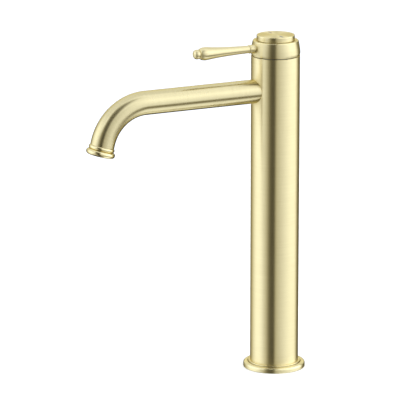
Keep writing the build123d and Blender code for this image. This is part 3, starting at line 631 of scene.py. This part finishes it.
SPOUT_RINGS = 110
straight_tube = [(spout_bore, 0, 0), (spout_r, 0, 0)]
straight_tube += [
    (spout_r, spout_length * i / SPOUT_RINGS, 0) for i in range(1, SPOUT_RINGS)
]
straight_tube += [(spout_r, spout_length, 0), (spout_bore, spout_length, 0)]
straight_tube += [
    (spout_bore, spout_length * i / SPOUT_RINGS, 0) for i in range(SPOUT_RINGS - 1, 0, -4)
]
spout = turned("spout_body", straight_tube, segments=128)
for vertex in spout.data.vertices:
    cope = math.sqrt(COPE_R**2 - (vertex.co.x / MM) ** 2) * MM
    vertex.co.z = max(vertex.co.z, cope)
spout_line = make_centreline()
# A darker copy of the same brass (tone 0.86): painted shade, to dim the spout's reflections.
shaded_tube_brass = champagne_brass("shaded_tube_brass", roughness=0.26, depth=0.0000004, grain=0.75, tone=0.86)
through_nodes(spout, make_bender(), Centreline=spout_line, Finish=shaded_tube_brass)
bpy.data.objects.remove(spout_line)
finish_piece(spout, shaded_tube_brass, "column", "brushed_brass", "spout_tube")


# ---- Outlet ring -------------------------------------------------------------------------
# A ring turned from brass bar with two beads and a groove between them, lightly polished
# and pushed into the spout's end. It holds the aerator.

RING_END = 12.6
RING_BORE = 8.6
UPPER_BEAD = (11.9, 5.5, 1.7)
LOWER_BEAD = (13.3, 9.7, 2.4)
GROOVE_DEPTH = 0.5
ring_lip = LOWER_BEAD[0] - LOWER_BEAD[2]
upper_end = UPPER_BEAD[1] + UPPER_BEAD[2]
lower_start = LOWER_BEAD[1] - LOWER_BEAD[2]
outlet_ring = turned(
    "outlet_ring_turned",
    rounded(
        [
            (spout_bore, SPOUT_TAIL, 0),
            (spout_r - 0.15, SPOUT_TAIL, 0),
            (spout_r, SPOUT_TAIL + 0.2, 0),
            (spout_r, UPPER_BEAD[1] - UPPER_BEAD[2] - 0.15, 0),
            # Corners below 0 get painted shade: the brass is painted darker in the grooves where
            # shade falls.
            (spout_r, UPPER_BEAD[1] - UPPER_BEAD[2], 0, -0.9),
            *arc_through(
                (spout_r, UPPER_BEAD[1] - UPPER_BEAD[2]),
                (UPPER_BEAD[0], UPPER_BEAD[1]),
                (spout_r, upper_end),
            ),
            (spout_r - 0.2, upper_end + 0.15, 0, -0.6),
            (spout_r - GROOVE_DEPTH, (upper_end + lower_start) / 2, 0, -1.0),
            (spout_r - 0.2, lower_start - 0.15, 0, -0.6),
            *arc_through(
                (spout_r, lower_start),
                (LOWER_BEAD[0], LOWER_BEAD[1]),
                (ring_lip, RING_END),
            ),
            (ring_lip, RING_END, 0),
            (RING_BORE, RING_END, 0.3),
            (RING_BORE, 0.2, 0),
            (spout_bore, 0.2, 0),
        ]
    ),
    placed=spout_frame(0),
)
satin_brass = champagne_brass(
    "satin_brass", roughness=0.17, line=0.00015, depth=0.0000004, grain=0.4
)
finish_piece(outlet_ring, satin_brass, "column", "polished_brass", "outlet_ring")


# ---- Aerator -----------------------------------------------------------------------------
# A moulded insert with a honeycomb face that mixes air into the water, over a woven wire
# screen and a rubber washer.

AERATOR_FACE = 11.8
CELL_PITCH = 1.5
CELL_WALL = 0.22
CELL_DEPTH = 1.6


def make_honeycomb():
    """Geometry Nodes honeycomb: hexagonal cells on a close-packed grid inside a circle."""
    tree = bpy.data.node_groups.new("honeycomb", "GeometryNodeTree")
    tree.interface.new_socket("Geometry", in_out="INPUT", socket_type="NodeSocketGeometry")
    for label in ("Radius", "Pitch", "Wall", "Depth"):
        tree.interface.new_socket(label, in_out="INPUT", socket_type="NodeSocketFloat")
    tree.interface.new_socket("Finish", in_out="INPUT", socket_type="NodeSocketMaterial")
    tree.interface.new_socket("Geometry", in_out="OUTPUT", socket_type="NodeSocketGeometry")
    g_in = tree.nodes.new("NodeGroupInput")
    g_out = tree.nodes.new("NodeGroupOutput")

    rows = 15
    pitch = g_in.outputs["Pitch"]
    grid = add_node(
        tree,
        "GeometryNodeMeshGrid",
        {
            "Size X": maths(tree, "MULTIPLY", pitch, float(rows - 1)),
            "Size Y": maths(tree, "MULTIPLY", pitch, (rows - 1) * math.sqrt(3) / 2),
            "Vertices X": rows,
            "Vertices Y": rows,
        },
    )
    index = add_node(tree, "GeometryNodeInputIndex").outputs[0]
    row = maths(tree, "MODULO", index, float(rows))
    odd = maths(tree, "MODULO", row, 2.0)
    half_pitch = maths(tree, "MULTIPLY", maths(tree, "MULTIPLY", odd, 0.5), pitch)
    shift = add_node(tree, "ShaderNodeCombineXYZ", {"X": half_pitch})
    packed = add_node(
        tree,
        "GeometryNodeSetPosition",
        {"Geometry": grid.outputs["Mesh"], "Offset": shift.outputs[0]},
    )
    place = add_node(tree, "GeometryNodeInputPosition").outputs[0]
    far = add_node(tree, "ShaderNodeVectorMath", {0: place}, operation="LENGTH").outputs["Value"]
    limit = maths(tree, "SUBTRACT", g_in.outputs["Radius"], maths(tree, "MULTIPLY", pitch, 0.55))
    outside = add_node(
        tree, "FunctionNodeCompare", {0: far, 1: limit}, operation="GREATER_THAN", data_type="FLOAT"
    )
    kept = add_node(
        tree,
        "GeometryNodeDeleteGeometry",
        {"Geometry": packed.outputs[0], "Selection": outside.outputs[0]},
    )
    ring = add_node(
        tree,
        "GeometryNodeCurvePrimitiveCircle",
        {"Resolution": 6, "Radius": maths(tree, "MULTIPLY", pitch, 1 / math.sqrt(3))},
    )
    turned_ring = add_node(
        tree,
        "GeometryNodeTransform",
        {"Geometry": ring.outputs[0], "Rotation": (0, 0, math.radians(30))},
    )
    wall = add_node(
        tree,
        "GeometryNodeCurvePrimitiveQuadrilateral",
        {"Width": g_in.outputs["Wall"], "Height": g_in.outputs["Depth"]},
    )
    cell = add_node(
        tree,
        "GeometryNodeCurveToMesh",
        {"Curve": turned_ring.outputs[0], "Profile Curve": wall.outputs[0]},
    )
    cells = add_node(
        tree,
        "GeometryNodeInstanceOnPoints",
        {"Points": kept.outputs[0], "Instance": cell.outputs[0]},
    )
    real = add_node(tree, "GeometryNodeRealizeInstances", {0: cells.outputs[0]})
    painted = add_node(
        tree,
        "GeometryNodeSetMaterial",
        {"Geometry": real.outputs[0], "Material": g_in.outputs["Finish"]},
    )
    tree.links.new(painted.outputs[0], g_out.inputs[0])
    return tree


grey_acetal = moulded("grey_acetal", (0.10, 0.10, 0.105, 1), (0.15, 0.15, 0.155, 1), 0.42)
wire = bare_metal("woven_wire", (0.42, 0.42, 0.43, 1), (0.62, 0.62, 0.63, 1), 0.3, 0.0002)
aerator_plug = turned(
    "aerator_plug",
    rounded(
        [
            (0, 5.4, 0),
            (RING_BORE, 5.4, 0.2),
            (RING_BORE, AERATOR_FACE, 0.2),
            (RING_BORE - 0.9, AERATOR_FACE, 0.2),
            (RING_BORE - 0.9, AERATOR_FACE - CELL_DEPTH, 0.1),
            (0, AERATOR_FACE - CELL_DEPTH, 0),
        ],
        closed=False,
    ),
    placed=spout_frame(0),
    poles=True,
)
finish_piece(aerator_plug, grey_acetal, "column", "grey_plastic", "aerator_insert")
honeycomb = bpy.data.objects.new("aerator_honeycomb", bpy.data.meshes.new("aerator_honeycomb"))
bpy.context.scene.collection.objects.link(honeycomb)
through_nodes(
    honeycomb,
    make_honeycomb(),
    Radius=(RING_BORE - 0.9) * MM,
    Pitch=CELL_PITCH * MM,
    Wall=CELL_WALL * MM,
    Depth=(CELL_DEPTH - 0.3) * MM,
    Finish=grey_acetal,
)
honeycomb.data.transform(spout_frame(AERATOR_FACE - CELL_DEPTH / 2 - 0.1))
finish_piece(honeycomb, grey_acetal, "column", "grey_plastic")
dress(wire, "aerator_screen")
dress(rubber, "aerator_washer")


# ---- Handle cap --------------------------------------------------------------------------
# A thin brass cap, turned hollow with a slightly barrelled side and brushed like the column.
# It is clamped on the cartridge's stem, and swivels and tilts with the lever.

cap_rim, cap_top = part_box("handle_cap")[0].z / MM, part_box("handle_cap")[1].z / MM
recess_r, recess_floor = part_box("cover_o_ring")[1].x / MM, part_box("cover_o_ring")[0].z / MM
disc_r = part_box("cover_disc")[1].x / MM
CAP_ROOF = 2.4
roof_z = cap_top - CAP_ROOF
rim_r = math.sqrt(sweep_r**2 - (pivot_z - cap_rim) ** 2)
rim_middle_z = (cap_rim + CAP_WIDEST) / 2
rim_middle_r = math.sqrt(sweep_r**2 - (pivot_z - rim_middle_z) ** 2)
CAP_WALL = 2.6
CAP_SHOULDER = (21.15, 309.8)
CAP_WAIST = 22.2
SEAT_GAP = 0.7
SEAT_UNDERCUT = 0.4
SEAT_DEPTH = 0.5
rim_start, rim_middle = (rim_r, cap_rim), (rim_middle_r, rim_middle_z)
cap = turned(
    "cap_shell",
    rounded(
        [
            (0, roof_z, 0),
            (cap_r - CAP_WALL, roof_z, 0.8),
            (cap_r - CAP_WALL, cap_rim, 0.2),
            (rim_r, cap_rim, 0.25),
            *arc_through(rim_start, rim_middle, (cap_r, CAP_WIDEST), steps=4),
            (cap_r, CAP_WIDEST, 0),
            *arc_through((cap_r, CAP_WIDEST), (CAP_WAIST, pivot_z), CAP_SHOULDER),
            (CAP_SHOULDER[0], CAP_SHOULDER[1] + 0.2, 0),
            (CAP_SHOULDER[0] - 0.25, cap_top, 0.7),
            (disc_r + SEAT_GAP, cap_top, 0.1),
            (disc_r - SEAT_UNDERCUT, cap_top - SEAT_DEPTH, 0.1),
            (recess_r, cap_top - SEAT_DEPTH, 0.1),
            (recess_r, recess_floor, 0),
            (0, recess_floor, 0),
        ],
        closed=False,
    ),
    poles=True,
)
cap_brass = champagne_brass("cap_brass", tone=1.0)
finish_piece(cap, cap_brass, "handle", "brushed_brass", "handle_cap")


# ---- Cover disc and marks ----------------------------------------------------------------
# The lid of the cap: a shallow disc turned and brushed in circles, pushed in over its
# O-ring. A short bar of dark enamel on each side shows which way is hot and which is cold.

disc_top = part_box("cover_disc")[1].z / MM
DISC_SKIN = 1.6
CAVITY_R = 12.0
cover = turned(
    "cover_lid",
    rounded(
        [
            (0, disc_top, 0),
            (disc_r, disc_top, 0.6),
            (disc_r, cap_top, 0.45),
            (recess_r - 1.0, cap_top, 0),
            (recess_r - 1.0, recess_floor, 0),
            (CAVITY_R, recess_floor, 0),
            (CAVITY_R, disc_top - DISC_SKIN, 0.4),
            (0, disc_top - DISC_SKIN, 0),
        ],
        closed=False,
    ),
    poles=True,
)


def slot_cutter(name, low, high, deeper):
    """A rounded bar as large as a mark's box, reaching deeper mm above it."""
    middle = (low + high) / 2
    half_length, half_width = (high.x - low.x) / 2, (high.y - low.y) / 2
    steps = 16
    ring = []
    for end in (1, -1):
        for i in range(steps + 1):
            a = -math.pi / 2 + math.pi * i / steps
            x = end * (half_length - half_width + half_width * math.cos(a))
            ring.append((middle.x + x, middle.y + end * half_width * math.sin(a)))
    top = high.z + deeper * MM
    corners = [(x, y, low.z) for x, y in ring] + [(x, y, top) for x, y in ring]
    count = len(ring)
    faces = [tuple(range(count - 1, -1, -1)), tuple(range(count, 2 * count))]
    faces += [(i, (i + 1) % count, count + (i + 1) % count, count + i) for i in range(count)]
    mesh = bpy.data.meshes.new(name)
    mesh.from_pydata(corners, [], faces)
    cutter = bpy.data.objects.new(name, mesh)
    bpy.context.scene.collection.objects.link(cutter)
    return cutter


for mark in ("hot_mark", "cold_mark"):
    cutter = slot_cutter(mark + "_cutter", *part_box(mark), deeper=1.0)
    cut = cover.modifiers.new("cut", "BOOLEAN")
    cut.operation, cut.solver, cut.object = "DIFFERENCE", "EXACT", cutter
    graph = bpy.context.evaluated_depsgraph_get()
    cover.data = bpy.data.meshes.new_from_object(
        cover.evaluated_get(graph), preserve_all_data_layers=True, depsgraph=graph
    )
    cover.modifiers.clear()
    bpy.data.objects.remove(cutter)
cover.data.shade_smooth()
cover.data.set_sharp_from_angle(angle=SHARP_EDGE)
finish_piece(cover, cap_brass, "handle", "brushed_brass", "cover_disc")

hot_enamel = moulded("hot_enamel", (0.10, 0.045, 0.025, 1), (0.14, 0.06, 0.03, 1), 0.3, 1500.0)
cold_enamel = moulded("cold_enamel", (0.05, 0.055, 0.05, 1), (0.07, 0.075, 0.07, 1), 0.3, 1500.0)
dress(hot_enamel, "hot_mark")
dress(cold_enamel, "cold_mark")
dress(rubber, "cover_o_ring")


# ---- Lever and collar --------------------------------------------------------------------
# A pin turned from brass bar: it swells towards its end, then has a neck and a flattened
# ball. Its threaded root goes through a small collar into the cap.

COLLAR_END = 27.5
collar_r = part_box("lever_collar")[1].x / MM
lever_reach = -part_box("lever")[0].y / MM
STUD_R = 2.5
ROOT_R = 3.5
NECK = (3.65, 78.1)
SWELL = (6.0, 72.7)
BALL_R = 4.4
BALL_AT = 80.6
lever_frame = Matrix.Translation((0, 0, pivot_z * MM)) @ Matrix.Rotation(math.radians(90), 4, "X")


def blend_line(a, slope_a, b, slope_b, steps=12):
    """Smooth stretch of an outline between two (radius, height) points, given its slopes."""
    run = b[1] - a[1]
    points = []
    for i in range(1, steps):
        t = i / steps
        h = a[1] + run * t
        r = (
            (2 * t**3 - 3 * t**2 + 1) * a[0]
            + (t**3 - 2 * t**2 + t) * run * slope_a
            + (3 * t**2 - 2 * t**3) * b[0]
            + (t**3 - t**2) * run * slope_b
        )
        points.append((r, h, 0))
    return points


shoulder = [
    (
        NECK[0] + (SWELL[0] - NECK[0]) * math.cos(a),
        SWELL[1] + (NECK[1] - SWELL[1]) * math.sin(a),
        0,
    )
    for a in (math.pi / 2 * i / 14 for i in range(1, 14))
]
BALL_SQUARENESS = 2.5
ball = []
for i in range(1, 18):
    a = math.pi / 2 * i / 18
    along = math.sin(a) ** (2 / BALL_SQUARENESS)
    out = math.cos(a) ** (2 / BALL_SQUARENESS)
    ball.append((BALL_R * out, BALL_AT + (lever_reach - BALL_AT) * along, 0))
swell_middle = (4.16, 50.0)
swell_late = (5.40, 66.4)
lever = turned(
    "lever_pin",
    rounded(
        [
            (0, COLLAR_END - 4, 0),
            (STUD_R, COLLAR_END - 4, 0),
            (STUD_R, COLLAR_END + 0.1, 0),
            (ROOT_R - 0.2, COLLAR_END + 0.1, 0),
            (ROOT_R, COLLAR_END + 0.4, 0),
            *blend_line((ROOT_R, COLLAR_END + 0.4), 0.0, swell_middle, 0.05),
            (*swell_middle, 0),
            *blend_line(swell_middle, 0.05, swell_late, 0.105),
            (*swell_late, 0),
            *blend_line(swell_late, 0.105, SWELL, 0.0),
            (*SWELL, 0),
            *shoulder,
            (*NECK, 0),
            *blend_line(NECK, 0.9, (BALL_R, BALL_AT), 0.0),
            (BALL_R, BALL_AT, 0),
            *ball,
            (0, lever_reach, 0),
        ],
        closed=False,
    ),
    placed=lever_frame,
    poles=True,
    segments=96,
)
# tone 0.98 makes the lever's brass a little darker: painted shade.
lever_brass = champagne_brass("lever_brass", roughness=0.31, depth=0.0000004, grain=0.85, tone=0.98)
finish_piece(lever, lever_brass, "handle", "brushed_brass", "lever")

collar = turned(
    "lever_collar_ring",
    rounded(
        [
            (STUD_R, cap_r - 1.6, 0),
            (collar_r, cap_r - 1.6, 0),
            (collar_r, COLLAR_END - 1.3, 0.15),
            (collar_r - 0.2, COLLAR_END - 1.1, 0.1),
            (collar_r - 0.2, COLLAR_END - 0.9, 0.1),
            (collar_r, COLLAR_END - 0.7, 0.15),
            (collar_r, COLLAR_END, 0.35),
            (STUD_R, COLLAR_END, 0),
        ]
    ),
    placed=lever_frame,
    segments=96,
)
finish_piece(collar, lever_brass, "handle", "brushed_brass", "lever_collar")


# ---- Studio ------------------------------------------------------------------------------
# A pale floor under a soft, even studio: broad white panels to the left and right, a narrow
# dark gap between them, and soft light from above.

CAMERA_AZIMUTH = math.radians(63.57)
CAMERA_ELEVATION = math.radians(13.94)
CAMERA_DISTANCE = 3.232
CAMERA_LENS = 313.7
CAMERA_TARGET = Vector((-0.0309, -0.0621, 0.1595))
FLOOR_SIZE = 8.0

floor_mesh = bpy.data.meshes.new("floor")
half = FLOOR_SIZE / 2
floor_mesh.from_pydata(
    [(-half, -half, 0), (half, -half, 0), (half, half, 0), (-half, half, 0)], [], [(0, 1, 2, 3)]
)
floor = bpy.data.objects.new("floor", floor_mesh)
bpy.context.scene.collection.objects.link(floor)
floor_paint = bpy.data.materials.new("floor_paint")
floor_paint.use_nodes = True
floor_shader = floor_paint.node_tree.nodes["Principled BSDF"]
floor_shader.inputs["Base Color"].default_value = (0.93, 0.93, 0.93, 1)
floor_shader.inputs["Roughness"].default_value = 0.9
floor_shader.inputs["Specular IOR Level"].default_value = 0.0
floor_mesh.materials.append(floor_paint)
floor.visible_glossy = False
floor.visible_shadow = False

back = Vector(
    (
        math.sin(CAMERA_AZIMUTH) * math.cos(CAMERA_ELEVATION),
        -math.cos(CAMERA_AZIMUTH) * math.cos(CAMERA_ELEVATION),
        math.sin(CAMERA_ELEVATION),
    )
)
camera_data = bpy.data.cameras.new("camera")
camera_data.lens = CAMERA_LENS
camera_data.sensor_width = 36.0
camera_data.clip_end = 50.0
camera = bpy.data.objects.new("camera", camera_data)
bpy.context.scene.collection.objects.link(camera)
camera.location = CAMERA_TARGET + back * CAMERA_DISTANCE
camera.rotation_mode = "QUATERNION"
camera.rotation_quaternion = (-back).to_track_quat("-Z", "Y")
bpy.context.scene.camera = camera

# Soft panels round the studio: where the light starts, is full, fades and ends, in degrees
# from the front round to the right, and how bright it is.
PANELS = (
    (-170, -90, -80, -15, 1.65),
    (-6, 8, 100, 135, 0.7),
    (5, 90, 108, 142, 1.35),
)
ROOM_LIGHT = 0.1

world = bpy.data.worlds.new("studio")
bpy.context.scene.world = world
world.use_nodes = True
sky = world.node_tree
sky.nodes.clear()
look = add_node(sky, "ShaderNodeTexCoord").outputs["Generated"]
axes = add_node(sky, "ShaderNodeSeparateXYZ", {0: look})
width, length, height = (axes.outputs[axis] for axis in "XYZ")
depth = maths(sky, "MULTIPLY", height, -1.0)
front = Vector((math.sin(CAMERA_AZIMUTH), -math.cos(CAMERA_AZIMUTH), 0))
right = Vector((math.cos(CAMERA_AZIMUTH), math.sin(CAMERA_AZIMUTH), 0))
GAP_TURN = math.radians(15)
gap_side = right * math.cos(GAP_TURN) + front * math.sin(GAP_TURN)


def towards(direction):
    """How far a view direction points along a fixed direction of the studio."""
    return add_node(
        sky, "ShaderNodeVectorMath", {0: look, 1: direction}, operation="DOT_PRODUCT"
    ).outputs["Value"]


def product(a, b):
    """Two light levels multiplied."""
    return maths(sky, "MULTIPLY", a, b)


def rest_of(a):
    """What is left of 1."""
    return maths(sky, "SUBTRACT", 1.0, a)


def step_up(value, low, high):
    """Soft step from 0 to 1 between low and high."""
    return add_node(
        sky,
        "ShaderNodeMapRange",
        {"Value": value, "From Min": low, "From Max": high},
        interpolation_type="SMOOTHSTEP",
    ).outputs[0]


def blend_light(share, below, above):
    """Mixes two light levels by a share."""
    return add_node(sky, "ShaderNodeMix", {0: share, 2: below, 3: above}).outputs[0]


# The ring of panels, a little weaker towards the floor.
LOW_FADE = 0.72
compass = product(maths(sky, "ARCTAN2", towards(right), towards(front)), math.degrees(1))
side = ROOM_LIGHT
for starts, full, fades, ends, brightness in PANELS:
    panel = product(step_up(compass, starts, full), rest_of(step_up(compass, fades, ends)))
    side = maths(sky, "ADD", side, product(panel, brightness))
light = product(side, blend_light(step_up(height, -0.35, 0.5), LOW_FADE, 1.0))

# The ceiling, brighter on the right, with a dark wedge over the gap between the panels.
CEILING = (1.02, 1.4)
GAP_SHADE = 0.9
gap = product(step_up(towards(front), 0.1, 0.4), step_up(towards(gap_side), -0.45, -0.2))
gap = product(gap, step_up(towards(-gap_side), -0.45, -0.2))
lit = rest_of(product(gap, GAP_SHADE))
ceiling = blend_light(step_up(width, -0.1, 0.15), *CEILING)
light = blend_light(step_up(height, 0.35, 0.7), light, product(ceiling, lit))

# The wall behind, and below eye level the shadow on the right and in the far left corner.
BACK_WALL = 1.05
RIGHT_SHADOW = 0.22
DARK = 0.08
behind = product(step_up(height, 0.02, 0.2), step_up(towards(-front), 0.55, 0.9))
light = blend_light(behind, light, BACK_WALL)
under = blend_light(step_up(towards(right), 0.1, 0.35), light, RIGHT_SHADOW)
light = blend_light(step_up(depth, 0.25, 0.48), light, under)
corner = product(rest_of(step_up(width, -0.5, -0.3)), step_up(length, -0.2, 0.1))
light = blend_light(product(corner, step_up(depth, 0.0, 0.15)), light, DARK)

# The ground: a bright sheet, dark at the far left and near left.
GROUND = 1.35
ground = blend_light(step_up(width, -0.5, -0.2), DARK, GROUND)
near_left = product(rest_of(step_up(width, 0.0, 0.25)), rest_of(step_up(length, -0.12, 0.12)))
ground = blend_light(near_left, ground, DARK)
light = blend_light(step_up(depth, 0.56, 0.82), light, product(lit, ground))

# Weak light is warm and strong light is cool. Seen directly, the studio is plain white.
WARM = (1.0, 0.94, 0.72, 1)
COOL = (1.0, 1.04, 1.13, 1)
WHITE = (1, 1, 1, 1)
tint = blend_colour(sky, step_up(light, 0.15, 1.15), WARM, COOL)
seen = add_node(sky, "ShaderNodeLightPath").outputs["Is Camera Ray"]
light = blend_light(seen, light, 1.0)
tint = blend_colour(sky, seen, tint, WHITE)
glow = add_node(sky, "ShaderNodeBackground", {"Strength": light, "Color": tint})
add_node(sky, "ShaderNodeOutputWorld", {"Surface": glow.outputs[0]})

overhead_data = bpy.data.lights.new("overhead", "AREA")
overhead_data.shape = "DISK"
overhead_data.size = 1.6
overhead_data.energy = 22.0
overhead = bpy.data.objects.new("overhead", overhead_data)
bpy.context.scene.collection.objects.link(overhead)
overhead.location = (0.2, -0.3, 2.2)
overhead.visible_glossy = False
bpy.context.scene.view_settings.view_transform = "Standard"
